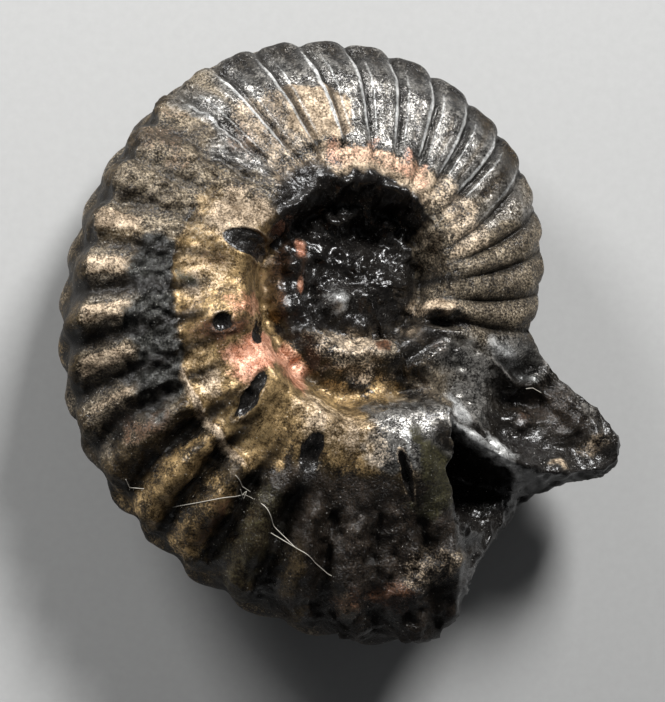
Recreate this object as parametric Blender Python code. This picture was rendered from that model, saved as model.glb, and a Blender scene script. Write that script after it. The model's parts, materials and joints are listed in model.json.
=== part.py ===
"""Fossil ammonite of the Hoplites kind, one piece of stone, lying on its rear side.

The shell is a disc-like coil. Angles run anticlockwise round the coil axis as seen from the
front, from 0 at +X. The shell itself is worked out in millimetres with its coil axis on Z;
the last step tips it the few degrees that it leans when it lies on its rear side.
"""

import math

import bmesh
import bpy
import numpy as np

MM = 0.001

# The coil: the rim's radius at angle 0, and how many times it grows in one whorl.
START_RADIUS = 15.0
WHORL_GROWTH = 2.10
# The rim's reach beside the plain spiral, at chosen angles.
REACH_ANGLES = (-17, 0, 20, 45, 85, 125, 150, 170, 188, 205, 245, 284)
REACH = (0.93, 0.945, 0.97, 1.0, 1.005, 1.0, 0.98, 0.985, 1.0, 1.01, 0.985, 0.985)

# The whorl's section, as shares of the rim's radius.
SHOULDER = 0.335          # half thickness beside the umbilicus
SHOULDER_SHARE = 0.45     # how far out the thickest place is
FLANK_FALL = 0.40         # how fast the flank slopes down to the rim
UMBILICUS = (0.26, 0.40)  # foot and top of the wall round the hollow centre
FLANK_ROUND = 0.07        # how far the flank rounds over beside the rim
SQUARENESS = 0.5          # how much less the flank falls where the whorl is squarest
EDGE_SHARE = 0.975        # where the flank ends and the narrow outer face begins

# Ribs: the angles at the rim of a few grooves between them, and the numbers of those grooves.
GROOVE_ANGLES = (-21, 3, 15.5, 36.8, 47, 92.5, 113.4, 154.5, 184, 212.5, 223.5, 232.5, 285, 347)
GROOVE_NUMBERS = (-2, 0, 1, 3, 4, 8, 10, 14, 17, 20, 21, 22, 27, 33)
RIB_HEIGHT = 0.040        # of the rim's radius
RIB_TIP = 0.034           # how far a rib's tip stands past the rim
BULLA_ANGLES = (10, 31, 53, 75, 97, 120, 143, 167, 197, 223, 248, 277, 303, 330)
BULLA_HEIGHT = 0.035
WHORL_SEAM = 0.5          # how widely the seam between two whorls is filled, in millimetres
PLUG_HEIGHT = 3.5         # of the stone that fills the innermost whorls, in millimetres
PLUG_RADII = (2.8, 5.2)   # where it ends

# The broken end. Break lines and the ridge of the bared inner wall, seen from the front.
FLANK_BREAK = ((3.2, -6.4), (5.2, -10.0), (5.8, -16.9), (6.9, -24.0), (7.9, -28.5))
INNER_LIP = ((1.7, -7.0), (4.6, -5.1), (6.5, -3.9), (9.3, -4.6), (10.9, -5.7), (12.2, -6.6),
             (13.2, -6.7), (13.9, -6.0), (14.9, -5.3), (17.0, -5.0))
WALL_RIDGE = ((4.3, -9.0), (7.0, -10.8), (8.6, -11.7), (11.2, -12.8), (13.6, -13.3),
              (16.5, -13.5), (20.5, -12.2))
BROKEN_RIM_ANGLES = (284, 286.5, 288.5, 296.4, 303, 310, 315.6, 320, 323, 326, 329, 333, 336,
                     338.8, 343, 348)
BROKEN_RIM = (26.3, 25.7, 24.4, 22.5, 21.2, 20.8, 20.8, 21.4, 22.4, 23.6, 24.2, 23.0, 20.6,
              17.2, 15.1, 14.2)

# How it rests, and the net that the surface is carried on.
LEAN_X = -7.96
LEAN_Y = -0.01
AXIS_AT = (0.98, 3.84, 7.68)
NET_ROUND = 400
NET_OVER = 132
FRONT_SHARE = 0.42
KEEP_FACES = 0.091


def ease(low, high, value):
    """Rise smoothly from 0 at low to 1 at high."""
    part = np.clip((value - low) / (high - low), 0.0, 1.0)
    return part * part * (3.0 - 2.0 * part)


def blend(first, second, share):
    """Go from first to second as share goes from 0 to 1."""
    return first + (second - first) * share


def lumps(x, y, z, size, seed):
    """Swell and sink between -1 and 1, in hills about size across.

    Each corner of a cubic lattice has a random value, and a point takes an eased mean of the
    eight corners round it.
    """
    place = np.stack([x, y, z]) / size
    cell = np.floor(place)
    part = place - cell
    part = part * part * (3.0 - 2.0 * part)
    cell = cell.astype(np.int64)
    total = np.zeros_like(x)
    for corner in range(8):
        step = (corner & 1, corner >> 1 & 1, corner >> 2 & 1)
        weight = 1.0
        code = seed * 974711
        for axis, prime in enumerate((73856093, 19349663, 83492791)):
            weight = weight * (part[axis] if step[axis] else 1.0 - part[axis])
            code = code ^ (cell[axis] + step[axis]) * prime
        code = (code ^ code >> 13) * 1274126177 & 0xFFFFFFFF
        total = total + weight * ((code ^ code >> 16) & 0xFFFF) / 32767.5
    return total - 1.0


def beside(x, y, path):
    """Distance from a path of straight runs, positive on its left, negative on its right."""
    nearest = np.full(x.shape, 1e9)
    side = np.ones(x.shape)
    for (x0, y0), (x1, y1) in zip(path[:-1], path[1:]):
        run_x, run_y = x1 - x0, y1 - y0
        along = ((x - x0) * run_x + (y - y0) * run_y) / (run_x ** 2 + run_y ** 2)
        along = np.clip(along, 0.0, 1.0)
        off_x = x - x0 - along * run_x
        off_y = y - y0 - along * run_y
        gap = np.hypot(off_x, off_y)
        closer = gap < nearest
        side = np.where(closer, np.sign(run_x * off_y - run_y * off_x), side)
        nearest = np.where(closer, gap, nearest)
    return nearest * side


def mound(x, y, at, long, wide, turn, height):
    """A smooth oval hill, or a hollow where height is negative."""
    turn = math.radians(turn)
    run = (x - at[0]) * math.cos(turn) + (y - at[1]) * math.sin(turn)
    off = (y - at[1]) * math.cos(turn) - (x - at[0]) * math.sin(turn)
    return height * np.exp(-(run / long) ** 2 - (off / wide) ** 2)


def at_polar(angle, share):
    """The place at an angle, at a share of the rim's radius there."""
    radius = share * START_RADIUS * WHORL_GROWTH ** (angle / 360.0)
    return radius * math.cos(math.radians(angle)), radius * math.sin(math.radians(angle))


def spiral(angle):
    """Radius of the rim as a plain logarithmic spiral."""
    return START_RADIUS * WHORL_GROWTH ** (angle / 360.0)


def rim_radius(angle):
    """Radius of the fossil's outline all round: shell, broken end, and young shell again."""
    turned = np.where(angle > 345.0, angle - 360.0, angle)
    shell = spiral(turned) * np.interp(turned, REACH_ANGLES, REACH)
    broken = np.interp(angle, BROKEN_RIM_ANGLES, BROKEN_RIM)
    whole = np.where(angle < 284.0, shell, broken)
    return np.where(angle > 348.0, shell, whole)


def rib_number(angle, share):
    """Ribs counted along the coil. Grooves hook forwards by the rim and lean when young."""
    hook = 3.4 * (1.0 - np.exp(-np.maximum(1.0 - share, 0.0) / 0.10))
    hook = hook * (1.0 - ease(95.0, 112.0, angle) + ease(195.0, 215.0, angle))
    lean = 16.0 * (1.0 - ease(26.0, 44.0, angle)) * np.clip(1.0 - share, 0.0, 0.6)
    return np.interp(angle + hook + lean, GROOVE_ANGLES, GROOVE_NUMBERS)


def rib_wave(angle, share, shift):
    """Height of a rib from 0 in a groove to 1 on its crest: a sine, steep on its rear side."""
    number = rib_number(angle, share) + shift
    across = number - np.floor(number)
    crest = blend(0.37, 0.5, ease(130.0, 180.0, angle))
    across = np.where(across < crest, across / crest, (1.0 - across) / (1.0 - crest))
    return np.sin(0.5 * np.pi * across) ** blend(0.55, 1.25, ease(128.0, 165.0, angle))


def whorl_height(angle, radius, rear):
    """Height of one side above the coil's middle plane.

    The whorl's section times the rim's radius, and the highest of it and of the whorls inside
    it, each smaller by one turn's growth, so the hollow centre steps down inwards. Two heights
    meet in a rounded seam: their mean plus half the root of (difference^2 + WHORL_SEAM^2).
    rear is 0 for the front and 1 for the rear, whose ribs lie half a rib further on.
    """
    rim = spiral(angle)
    stout = ease(200.0, 225.0, angle) * (1.0 - ease(252.0, 268.0, angle))
    stout = stout + 0.2 * (1.0 + rear) * (1.0 - ease(120.0, 150.0, angle))
    worn = ease(122.0, 140.0, angle) * (1.0 - ease(166.0, 182.0, angle)) * (1.0 - rear)
    square = ease(132.0, 155.0, angle) * (1.0 - ease(186.0, 205.0, angle)) * (1.0 - rear)
    crusted = ease(168.0, 175.0, angle) * (1.0 - ease(206.0, 213.0, angle)) * (1.0 - rear)
    wall_top = UMBILICUS[1] + 0.08 * ease(140.0, 170.0, angle) * (1.0 - ease(255.0, 275.0, angle))
    height = np.zeros_like(radius)
    for turn in range(4):
        size = WHORL_GROWTH ** turn
        share = radius / rim * size
        fall = FLANK_FALL * (1.0 - SQUARENESS * square)
        flank = SHOULDER - fall * np.maximum(share - SHOULDER_SHARE, 0.0) ** 1.15
        flank = flank - FLANK_ROUND * ease(0.84, 1.0, share) * (1.0 - square)
        flank = flank * ease(UMBILICUS[0], wall_top, share)
        ribs = (rib_wave(angle, share, 0.5 * rear) - 0.5) * ease(0.43, 0.62, share)
        old = ease(140.0, 170.0, angle) * (1.0 - ease(0.64, 0.73, share - 0.12 * crusted))
        ribs = ribs * (1.0 - (0.97 - 0.12 * rear) * old) * (1.0 + (1.2 - 0.6 * rear) * stout)
        ribs = ribs * (1.0 - 0.35 * worn)
        flank = flank + RIB_HEIGHT * ribs * (1.0 if turn == 0 else 0.6)
        for bulla in BULLA_ANGLES:
            strength = 0.45 + (1.05 - 0.5 * rear) * ease(120.0, 170.0, bulla)
            away = np.radians(angle - bulla) * share / 0.085
            out = (share - 0.52) / 0.13
            flank = flank + strength * BULLA_HEIGHT * np.exp(-away ** 2 - out ** 2)
        over = rim / size * flank - height
        height = height + 0.5 * (over + np.sqrt(over ** 2 + WHORL_SEAM ** 2))
    return blend(height, PLUG_HEIGHT, 1.0 - ease(*PLUG_RADII, radius))


# Scars where bosses broke off, and lumps that stand on the front: where, half length and half
# width, turn in degrees, and height.
SCARS = ((at_polar(167.5, 0.46), 1.9, 0.8, 167, -0.75), (at_polar(198, 0.55), 0.6, 0.6, 0, -0.8),
         (at_polar(205.5, 0.425), 1.1, 0.5, 232, -0.6), (at_polar(223, 0.56), 1.6, 0.5, 243, -0.9),
         (at_polar(248.5, 0.565), 1.2, 0.7, 250, -0.7), (at_polar(277, 0.56), 1.5, 0.35, 292, -1.0))
LUMPS = ((at_polar(284, 0.55), 2.0, 0.7, 279, 0.35), (at_polar(278, 0.31), 1.3, 0.7, 20, 0.5),
         (at_polar(191, 1.0), 1.1, 1.0, 100, 0.5), ((5.3, -24.8), 1.5, 1.1, 5, 0.8),
         ((1.6, -23.3), 1.5, 0.9, 10, 0.7), ((-1.6, -23.7), 1.3, 0.6, -50, 0.5),
         ((6.4, -20.6), 2.8, 0.8, 27, 1.0))


def crusts_and_scars(angle, radius, x, y):
    """Relief that later damage and crusts leave on the front: eased bands, hills and pits."""
    share = radius / spiral(angle)
    relief = np.zeros_like(radius)
    grain = lumps(x, y, share, 1.1, 5) + 0.6 * lumps(x, y, share, 0.55, 6)

    band = ease(168, 175, angle) * (1 - ease(205, 212, angle))
    band = band * ease(0.69, 0.72, share) * (1 - ease(0.81, 0.85, share))
    relief = relief + band * (0.35 + 0.25 * grain)

    seam = np.exp(-((share - 0.70) / 0.012) ** 2)
    relief = relief + 0.30 * seam * ease(168, 176, angle) * (1 - ease(232, 244, angle))

    slab = ease(98, 101, angle) * (1 - ease(116, 119, angle))
    relief = relief + 0.35 * slab * ease(0.53, 0.57, share) * (1 - ease(0.79, 0.82, share))

    boulders = lumps(x, y, share, 2.0, 15)
    uneven = share + 0.03 * boulders
    tar = ease(15, 45, angle) * (1 - ease(135, 155, angle))
    tar = tar * ease(0.20, 0.28, uneven) * (1 - ease(0.40, 0.45, uneven))
    relief = relief + tar * (0.5 + 0.6 * grain + 0.5 * boulders)

    for at, long, wide, turn, height in SCARS + LUMPS:
        relief = relief + mound(x, y, at, long, wide, turn, height)

    rough = ease(255, 268, angle) * (1 - ease(292, 300, angle)) * ease(0.60, 0.70, share)
    relief = relief + rough * (0.35 * grain - 0.15)
    return relief + (0.35 * grain + 0.4 * boulders) * (1 - ease(0.28, 0.38, share))


def broken_height(x, y):
    """Height of the broken end: bared wall with its ridge, pit, lip, hollow and tongue."""
    south = -beside(x, y, INNER_LIP)
    past = beside(x, y, WALL_RIDGE)
    crest = 6.2 - 0.33 * (x - 5.0)
    lip = 4.9 - 0.36 * (x - 6.0)
    level = blend(3.5, 1.1, ease(8.5, 11.5, x))
    reach = blend(2.6, 0.6, ease(8.0, 10.5, x))
    floor = level + (lip - level) * np.exp(-(np.maximum(south, 0.0) / reach) ** 2)
    floor = floor + mound(x, y, (12.9, -8.0), 1.9, 1.0, -15, -1.4)
    floor = floor + mound(x, y, (12.4, -9.4), 1.2, 1.0, 0, 0.7)
    floor = floor + mound(x, y, (17.2, -8.6), 2.4, 1.1, -50, 0.9)
    floor = floor + mound(x, y, (15.3, -12.3), 1.3, 0.8, 20, 0.8)
    floor = floor + mound(x, y, (19.5, -11.0), 1.6, 1.2, 60, 0.6)
    basin = floor + (crest - floor) * np.exp(-(past / 1.5) ** 2)
    basin = basin + mound(x, y, (8.9, -11.0), 1.5, 0.3, -38, -0.6)
    pit = -2.4 + 2.9 * ease(15.5, 20.0, np.hypot(x, y)) * (1.0 - ease(11.0, 15.0, x))
    drop = crest + (pit - crest) * ease(0.0, 1.7, -past)
    height = np.where(past > 0.0, basin, drop)
    grain = lumps(x, y, 0 * x, 1.7, 8) + 0.5 * lumps(x, y, 0 * x, 0.8, 9)
    rough = np.maximum(ease(12.5, 15.5, x), ease(0.8, 2.0, -past))
    return height + 0.4 * grain * rough


def front_height(angle, radius):
    """Height of the front: whole shell, then the broken end, then the young shell."""
    x = radius * np.cos(np.radians(angle))
    y = radius * np.sin(np.radians(angle))
    turned = np.where(angle > 352.0, angle - 360.0, angle)
    shell = whorl_height(turned, radius, 0.0) + crusts_and_scars(turned, radius, x, y)
    young = whorl_height(angle - 360.0, np.minimum(radius, spiral(angle - 360.0)), 0.0)
    young = young + mound(x, y, (5.9, -1.9), 1.6, 0.5, -5, 0.8)
    young = young + mound(x, y, (5.9, -2.8), 1.2, 0.4, -5, -1.2)
    bared = ease(-0.5, 0.5, -beside(x, y, INNER_LIP))
    broken = blend(young, broken_height(x, y), bared)
    jag = 0.5 * lumps(x, y, 0 * x, 1.6, 13) + 0.25 * lumps(x, y, 0 * x, 0.7, 14)
    slope = 0.7 + 3.6 * ease(13.5, 18.5, -y)
    gone = ease(-0.5, slope, beside(x, y, FLANK_BREAK) + jag)
    height = np.where(angle > 270.0, blend(shell, broken, gone), shell)
    height = np.where(angle > 352.0, shell, height)
    for at, long, wide, turn, rise in (((-1.9, -1.4), 0.9, 1.1, 0, 1.3),
                                       ((1.2, -0.3), 1.7, 1.4, 0, 1.1),
                                       ((0.3, 3.6), 3.0, 1.0, 5, -1.5),
                                       ((-0.8, -4.6), 3.6, 1.2, -3, 1.1)):
        height = height + mound(x, y, at, long, wide, turn, rise)
    return height


def rear_height(angle, radius):
    """Depth of the rear, whose last whorl runs on to the tongue and breaks off there."""
    turned = np.where(angle > 352.0, angle - 360.0, angle)
    old = whorl_height(turned, radius, 1.0)
    young = whorl_height(angle - 360.0, np.minimum(radius, spiral(angle - 360.0)), 1.0)
    x = radius * np.cos(np.radians(angle))
    y = radius * np.sin(np.radians(angle))
    grain = lumps(x, y, 0 * x, 2.2, 21) + 0.5 * lumps(x, y, 0 * x, 1.0, 22)
    stub = 3.4 + 1.2 * np.exp(-((radius - 15.0) / 4.0) ** 2) + 0.5 * grain
    young = blend(young, stub, ease(9.0, 11.5, radius) * (1.0 - ease(338.0, 344.0, angle)))
    snapped = ease(292.0, 299.0, angle + 2.0 * np.sin(0.7 * radius) + 0.8 * grain)
    height = blend(old, young, snapped)
    return np.where(angle > 352.0, old, height)


def shell_point(angle, over):
    """The surface at an angle, from over = 0 at the front's centre to 1 at the rear's.

    The front is a height above the coil's middle plane, the rear a depth below it, and the
    narrow outer face joins them, bowed out to the rim.
    """
    rim = rim_radius(angle)
    broken = ease(282.0, 288.0, angle) * (1.0 - ease(343.0, 350.0, angle))
    turned = np.where(angle > 348.0, angle - 360.0, angle)
    edge = rim * EDGE_SHARE
    whole = 1.0 - broken
    tip = RIB_TIP * rim * whole
    front_edge = edge + tip * (rib_wave(turned, 1.0, 0.0) - 0.5)
    rear_edge = edge + 0.5 * tip * (rib_wave(turned, 1.0, 0.5) - 0.5)

    front = np.clip(over / FRONT_SHARE, 0.0, 1.0)
    rear = np.clip((1.0 - over) / FRONT_SHARE, 0.0, 1.0)
    across = np.clip((over - FRONT_SHARE) / (1.0 - 2.0 * FRONT_SHARE), 0.0, 1.0)
    radius = blend(front * front_edge, rear * rear_edge, over > 0.5)
    top = front_height(angle, np.where(over < 0.5, radius, front_edge))
    low = -rear_height(angle, np.where(over > 0.5, radius, rear_edge))
    height = blend(top, low, ease(0.0, 1.0, across) * 0.4 + across * 0.6)

    outer = blend(front_edge, rear_edge, ease(0.2, 0.8, across))
    bow = 1.0 - np.abs(2.0 * across - 1.0) ** 2.6
    groove = 0.012 * np.exp(-((across - 0.5) / 0.12) ** 2) * whole
    knob = 0.6 * np.exp(-((angle - 190.5) / 2.2) ** 2 - ((across - 0.35) / 0.3) ** 2)
    belly = outer + knob + rim * ((1.0 - EDGE_SHARE) * bow - groove)
    on_belly = (across > 0.0) & (across < 1.0)
    radius = np.where(on_belly, belly, radius)
    x = radius * np.cos(np.radians(angle))
    y = radius * np.sin(np.radians(angle))
    rough = 0.25 * lumps(x, y, height, 2.0, 11) * (0.3 + 0.7 * broken) * on_belly
    x = x * (1.0 + rough / np.maximum(radius, 1.0))
    y = y * (1.0 + rough / np.maximum(radius, 1.0))
    return np.stack([x, y, height], axis=1)


def settle(points):
    """Lean the shell as it lies, with its lowest places just under Z = 0."""
    tip_x, tip_y = math.radians(LEAN_X), math.radians(LEAN_Y)
    x, y, z = points.T
    y, z = y * math.cos(tip_x) - z * math.sin(tip_x), y * math.sin(tip_x) + z * math.cos(tip_x)
    x, z = x * math.cos(tip_y) + z * math.sin(tip_y), z * math.cos(tip_y) - x * math.sin(tip_y)
    return np.stack([x + AXIS_AT[0], y + AXIS_AT[1], z + AXIS_AT[2]], axis=1)


def fossil_stone():
    """Near-black, half polished stone with a bronze cast."""
    material = bpy.data.materials.new("fossil_stone")
    material.use_nodes = True
    shader = material.node_tree.nodes["Principled BSDF"]
    shader.inputs["Base Color"].default_value = (0.055, 0.042, 0.030, 1.0)
    shader.inputs["Roughness"].default_value = 0.38
    shader.inputs["Metallic"].default_value = 0.25
    material.diffuse_color = (0.16, 0.13, 0.10, 1.0)
    return material


def thinned(mesh):
    """Leave out the vertices of a mesh that add least to its shape."""
    carrier = bpy.data.objects.new("carrier", mesh)
    bpy.context.scene.collection.objects.link(carrier)
    thin = carrier.modifiers.new("Thin the net", "DECIMATE")
    thin.ratio = KEEP_FACES
    seen = carrier.evaluated_get(bpy.context.evaluated_depsgraph_get())
    result = bpy.data.meshes.new_from_object(seen)
    bpy.data.objects.remove(carrier, do_unlink=True)
    return result


def wear_flat(mesh):
    """Cut the lowest places off level at Z = 0, and close the cuts with flat faces."""
    net = bmesh.new()
    net.from_mesh(mesh)
    everything = net.verts[:] + net.edges[:] + net.faces[:]
    bmesh.ops.bisect_plane(net, geom=everything, plane_co=(0.0, 0.0, 0.0),
                           plane_no=(0.0, 0.0, 1.0), clear_inner=True)
    rims = [edge for edge in net.edges if edge.is_boundary]
    bmesh.ops.holes_fill(net, edges=rims)
    bmesh.ops.triangulate(net, faces=net.faces)
    bmesh.ops.recalc_face_normals(net, faces=net.faces)
    net.to_mesh(mesh)
    net.free()


def ammonite(collection):
    """Carry a sphere's net onto the shell's surface, thin it, and wear its resting places."""
    net = bmesh.new()
    bmesh.ops.create_uvsphere(net, u_segments=NET_ROUND, v_segments=NET_OVER, radius=1.0)
    places = np.array([vertex.co for vertex in net.verts])
    angle = np.degrees(np.arctan2(places[:, 1], places[:, 0])) % 360.0
    over = np.arccos(np.clip(places[:, 2], -1.0, 1.0)) / math.pi
    points = settle(shell_point(angle, over)) * MM
    for vertex, point in zip(net.verts, points):
        vertex.co = point
    bmesh.ops.recalc_face_normals(net, faces=net.faces)
    bmesh.ops.triangulate(net, faces=net.faces)
    full = bpy.data.meshes.new("full_net")
    net.to_mesh(full)
    net.free()
    mesh = thinned(full)
    mesh.name = "ammonite"
    wear_flat(mesh)
    mesh.shade_smooth()
    mesh.materials.clear()
    mesh.materials.append(fossil_stone())
    shell = bpy.data.objects.new("ammonite", mesh)
    collection.objects.link(shell)


def main():
    """Build the fossil in a collection of its own."""
    for old in list(bpy.data.objects):
        bpy.data.objects.remove(old, do_unlink=True)
    collection = bpy.data.collections.new("hoplites_ammonite")
    bpy.context.scene.collection.children.link(collection)
    ammonite(collection)


main()
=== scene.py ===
"""A fossil ammonite of the Hoplites kind, lying on its rear side on a pale floor."""

import json
import math

import bpy
import numpy as np
from mathutils import Matrix, Vector

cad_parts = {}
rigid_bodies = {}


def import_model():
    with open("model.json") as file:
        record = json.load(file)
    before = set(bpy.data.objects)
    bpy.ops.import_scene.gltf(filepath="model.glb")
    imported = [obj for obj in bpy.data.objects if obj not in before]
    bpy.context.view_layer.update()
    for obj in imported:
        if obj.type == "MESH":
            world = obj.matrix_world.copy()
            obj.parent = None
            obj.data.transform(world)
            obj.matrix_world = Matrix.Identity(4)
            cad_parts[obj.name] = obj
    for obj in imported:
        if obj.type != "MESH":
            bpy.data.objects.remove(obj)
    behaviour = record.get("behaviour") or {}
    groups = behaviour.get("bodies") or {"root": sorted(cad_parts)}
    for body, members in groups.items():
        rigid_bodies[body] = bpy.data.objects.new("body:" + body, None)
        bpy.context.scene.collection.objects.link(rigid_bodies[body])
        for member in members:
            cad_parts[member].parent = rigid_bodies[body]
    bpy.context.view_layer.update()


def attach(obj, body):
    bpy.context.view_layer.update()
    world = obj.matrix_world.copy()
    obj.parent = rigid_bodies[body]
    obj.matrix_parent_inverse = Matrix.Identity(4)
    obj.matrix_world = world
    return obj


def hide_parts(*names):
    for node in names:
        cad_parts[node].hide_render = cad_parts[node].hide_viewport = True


for leftover in list(bpy.data.objects):
    bpy.data.objects.remove(leftover, do_unlink=True)
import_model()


# The fossil's surface. The real piece is a coiled shell filled and replaced by dark, glossy stone,
# grown and hardened as one body. It is laid out in millimetres with the coil's axis on Z, angles
# running anticlockwise from +X as seen from the front, and leaned to its rest at the end.

MM = 0.001
START_RADIUS = 15.0       # the rim's radius at angle 0
WHORL_GROWTH = 2.10       # how many times the rim grows in one whorl
REACH_ANGLES = (-17, 0, 20, 45, 85, 125, 150, 170, 188, 205, 245, 284)
REACH = (0.93, 0.945, 0.97, 1.0, 1.005, 1.0, 0.98, 0.985, 1.0, 1.01, 0.985, 0.985)

# The whorl's section, as shares of the rim's radius.
SHOULDER = 0.335          # half thickness beside the hollow centre
SHOULDER_SHARE = 0.45     # how far out the thickest place is
FLANK_FALL = 0.40         # how fast the flank slopes down to the rim
UMBILICUS = (0.26, 0.40)  # foot and top of the wall round the hollow centre
FLANK_ROUND = 0.07        # how far the flank rounds over beside the rim
SQUARENESS = 0.5          # how much less the flank falls where the whorl is squarest
EDGE_SHARE = 0.975        # where the flank ends and the narrow outer face begins

# Ribs: the angles at the rim of a few grooves between them, and the numbers of those grooves.
GROOVE_ANGLES = (-21, 3, 15.5, 36.8, 47, 92.5, 113.4, 154.5, 184, 212.5, 223.5, 232.5, 285, 347)
GROOVE_NUMBERS = (-2, 0, 1, 3, 4, 8, 10, 14, 17, 20, 21, 22, 27, 33)
RIB_HEIGHT = 0.040        # of the rim's radius
RIB_TIP = 0.034           # how far a rib's tip stands past the rim
BULLA_ANGLES = (10, 31, 53, 75, 97, 120, 143, 167, 197, 223, 248, 277, 303, 330)
BULLA_HEIGHT = 0.035
WHORL_SEAM = 0.5          # how widely the seam between two whorls is filled, in millimetres
PLUG_HEIGHT = 3.5         # of the stone that fills the innermost whorls, in millimetres
PLUG_RADII = (2.8, 5.2)   # where it ends

# The broken end: break lines and the ridge of the bared inner wall, seen from the front.
FLANK_BREAK = ((3.2, -6.4), (5.2, -10.0), (5.8, -16.9), (6.9, -24.0), (7.9, -28.5))
INNER_LIP = ((1.7, -7.0), (4.6, -5.1), (6.5, -3.9), (9.3, -4.6), (10.9, -5.7), (12.2, -6.6),
             (13.2, -6.7), (13.9, -6.0), (14.9, -5.3), (17.0, -5.0))
WALL_RIDGE = ((4.3, -9.0), (7.0, -10.8), (8.6, -11.7), (11.2, -12.8), (13.6, -13.3),
              (16.5, -13.5), (20.5, -12.2))
BROKEN_RIM_ANGLES = (284, 286.5, 288.5, 296.4, 303, 310, 315.6, 320, 323, 326, 329, 333, 336,
                     338.8, 343, 348)
BROKEN_RIM = (26.3, 25.7, 24.4, 22.5, 21.2, 20.8, 20.8, 21.4, 22.4, 23.6, 24.2, 23.0, 20.6,
              17.2, 15.1, 14.2)

LEAN_X = -7.96            # degrees that the shell leans as it lies
LEAN_Y = -0.01
AXIS_AT = (0.98, 3.84, 7.68)  # the coil's centre, in millimetres in the finished scene
FRONT_SHARE = 0.42        # share of the way from pole to pole that lies on each side

# Mounds and hollows: where, half length and half width, turn in degrees, and height. They stand
# on the bared wall, in its side, on the young whorl beside the break, and in the hollow centre.
WALL_MOUNDS = (((12.9, -8.0), 1.9, 1.0, -15, -1.4), ((12.4, -9.4), 1.2, 1.0, 0, 0.7),
               ((17.2, -8.6), 2.4, 1.1, -50, 0.9), ((15.3, -12.3), 1.3, 0.8, 20, 0.8),
               ((19.5, -11.0), 1.6, 1.2, 60, 0.6))
SLOT = ((8.9, -11.0), 1.5, 0.3, -38, -0.6)
YOUNG_MOUNDS = (((5.9, -1.9), 1.6, 0.5, -5, 0.8), ((5.9, -2.8), 1.2, 0.4, -5, -1.2))
CENTRE_MOUNDS = (((-1.9, -1.4), 0.9, 1.1, 0, 1.3), ((1.2, -0.3), 1.7, 1.4, 0, 1.1),
                 ((0.3, 3.6), 3.0, 1.0, 5, -1.5), ((-0.8, -4.6), 3.6, 1.2, -3, 1.1))


def ease(low, high, value):
    """Rise smoothly from 0 at low to 1 at high: 3t^2 - 2t^3 of the share t of the way."""
    part = np.clip((value - low) / (high - low), 0.0, 1.0)
    return part * part * (3.0 - 2.0 * part)


def blend(first, second, share):
    """Go straight from first to second as share goes from 0 to 1."""
    return first + (second - first) * share


def lumps(x, y, z, size, seed):
    """Swell and sink between -1 and 1, in hills about size across.

    Each corner of a cubic lattice has a random value, and a point takes an eased mean of the
    eight corners round it.
    """
    place = np.stack([x, y, z]) / size
    cell = np.floor(place)
    part = place - cell
    part = part * part * (3.0 - 2.0 * part)
    cell = cell.astype(np.int64)
    total = np.zeros_like(x)
    for corner in range(8):
        step = (corner & 1, corner >> 1 & 1, corner >> 2 & 1)
        weight = 1.0
        code = seed * 974711
        for axis, prime in enumerate((73856093, 19349663, 83492791)):
            weight = weight * (part[axis] if step[axis] else 1.0 - part[axis])
            code = code ^ (cell[axis] + step[axis]) * prime
        code = (code ^ code >> 13) * 1274126177 & 0xFFFFFFFF
        total = total + weight * ((code ^ code >> 16) & 0xFFFF) / 32767.5
    return total - 1.0


def beside(x, y, path):
    """Distance from a path of straight runs, positive on its left, negative on its right."""
    nearest = np.full(x.shape, 1e9)
    side = np.ones(x.shape)
    for (x0, y0), (x1, y1) in zip(path[:-1], path[1:]):
        run_x, run_y = x1 - x0, y1 - y0
        along = ((x - x0) * run_x + (y - y0) * run_y) / (run_x ** 2 + run_y ** 2)
        along = np.clip(along, 0.0, 1.0)
        off_x = x - x0 - along * run_x
        off_y = y - y0 - along * run_y
        gap = np.hypot(off_x, off_y)
        closer = gap < nearest
        side = np.where(closer, np.sign(run_x * off_y - run_y * off_x), side)
        nearest = np.where(closer, gap, nearest)
    return nearest * side


def mound(x, y, at, long, wide, turn, height):
    """A smooth oval hill, height * exp(-(run/long)^2 - (off/wide)^2), or a hollow below 0."""
    turn = math.radians(turn)
    run = (x - at[0]) * math.cos(turn) + (y - at[1]) * math.sin(turn)
    off = (y - at[1]) * math.cos(turn) - (x - at[0]) * math.sin(turn)
    return height * np.exp(-(run / long) ** 2 - (off / wide) ** 2)


def spiral(angle):
    """Radius of the rim: START_RADIUS times WHORL_GROWTH to the power of the turns made."""
    return START_RADIUS * WHORL_GROWTH ** (angle / 360.0)


def at_polar(angle, share):
    """The place at an angle, at a share of the rim's radius there."""
    radius = share * spiral(angle)
    return radius * math.cos(math.radians(angle)), radius * math.sin(math.radians(angle))


def rim_radius(angle):
    """Radius of the fossil's outline all round: shell, broken end, and young shell again."""
    turned = np.where(angle > 345.0, angle - 360.0, angle)
    shell = spiral(turned) * np.interp(turned, REACH_ANGLES, REACH)
    broken = np.interp(angle, BROKEN_RIM_ANGLES, BROKEN_RIM)
    whole = np.where(angle < 284.0, shell, broken)
    return np.where(angle > 348.0, shell, whole)


def rib_number(angle, share):
    """Ribs counted along the coil. Grooves hook forwards by the rim and lean when young."""
    hook = 3.4 * (1.0 - np.exp(-np.maximum(1.0 - share, 0.0) / 0.10))
    hook = hook * (1.0 - ease(95.0, 112.0, angle) + ease(195.0, 215.0, angle))
    lean = 16.0 * (1.0 - ease(26.0, 44.0, angle)) * np.clip(1.0 - share, 0.0, 0.6)
    return np.interp(angle + hook + lean, GROOVE_ANGLES, GROOVE_NUMBERS)


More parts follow.
